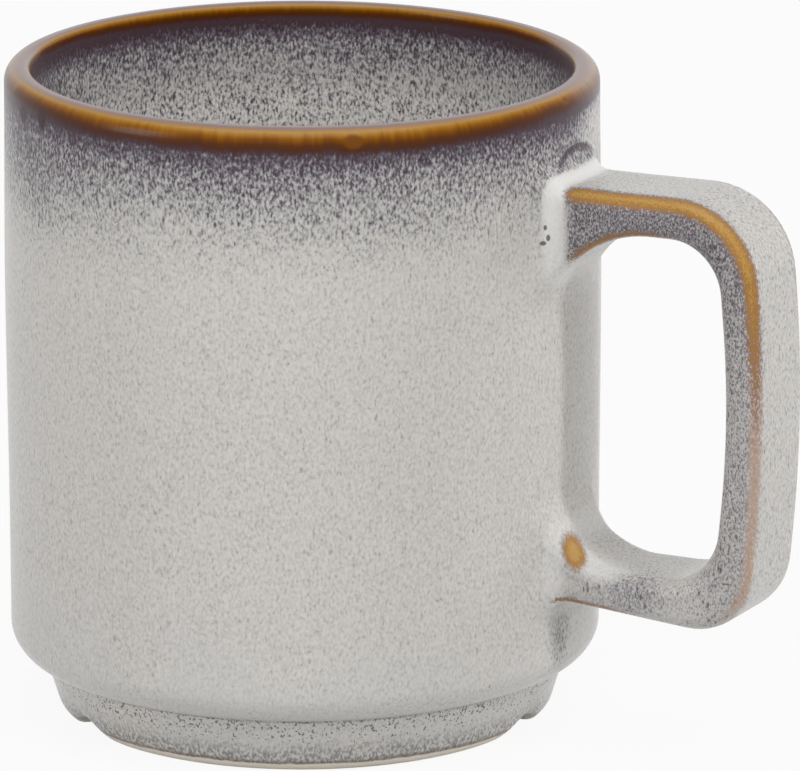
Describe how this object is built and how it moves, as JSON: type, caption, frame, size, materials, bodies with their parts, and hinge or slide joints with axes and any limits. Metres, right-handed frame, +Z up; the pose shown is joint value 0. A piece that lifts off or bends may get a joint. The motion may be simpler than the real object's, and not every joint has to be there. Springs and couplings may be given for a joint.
{
  "type": "coffee mug",
  "caption": "Stacking stoneware coffee mug with a straight wall, an inset notched foot and a broad squared strap handle, in speckled grey glaze with an amber rim.",
  "frame": {"origin": "on the cup's axis, in the plane of the foot ring that stands on the table, which is where the mount nest lies", "axes": "+Z up along the cup's axis, +X from the axis through the middle of the handle"},
  "size_m": [0.1111, 0.08, 0.0892],
  "materials": {
    "glaze": "glossy"
  },
  "bodies": {
    "root": {"mug": "glaze"}
  },
  "joints": []
}
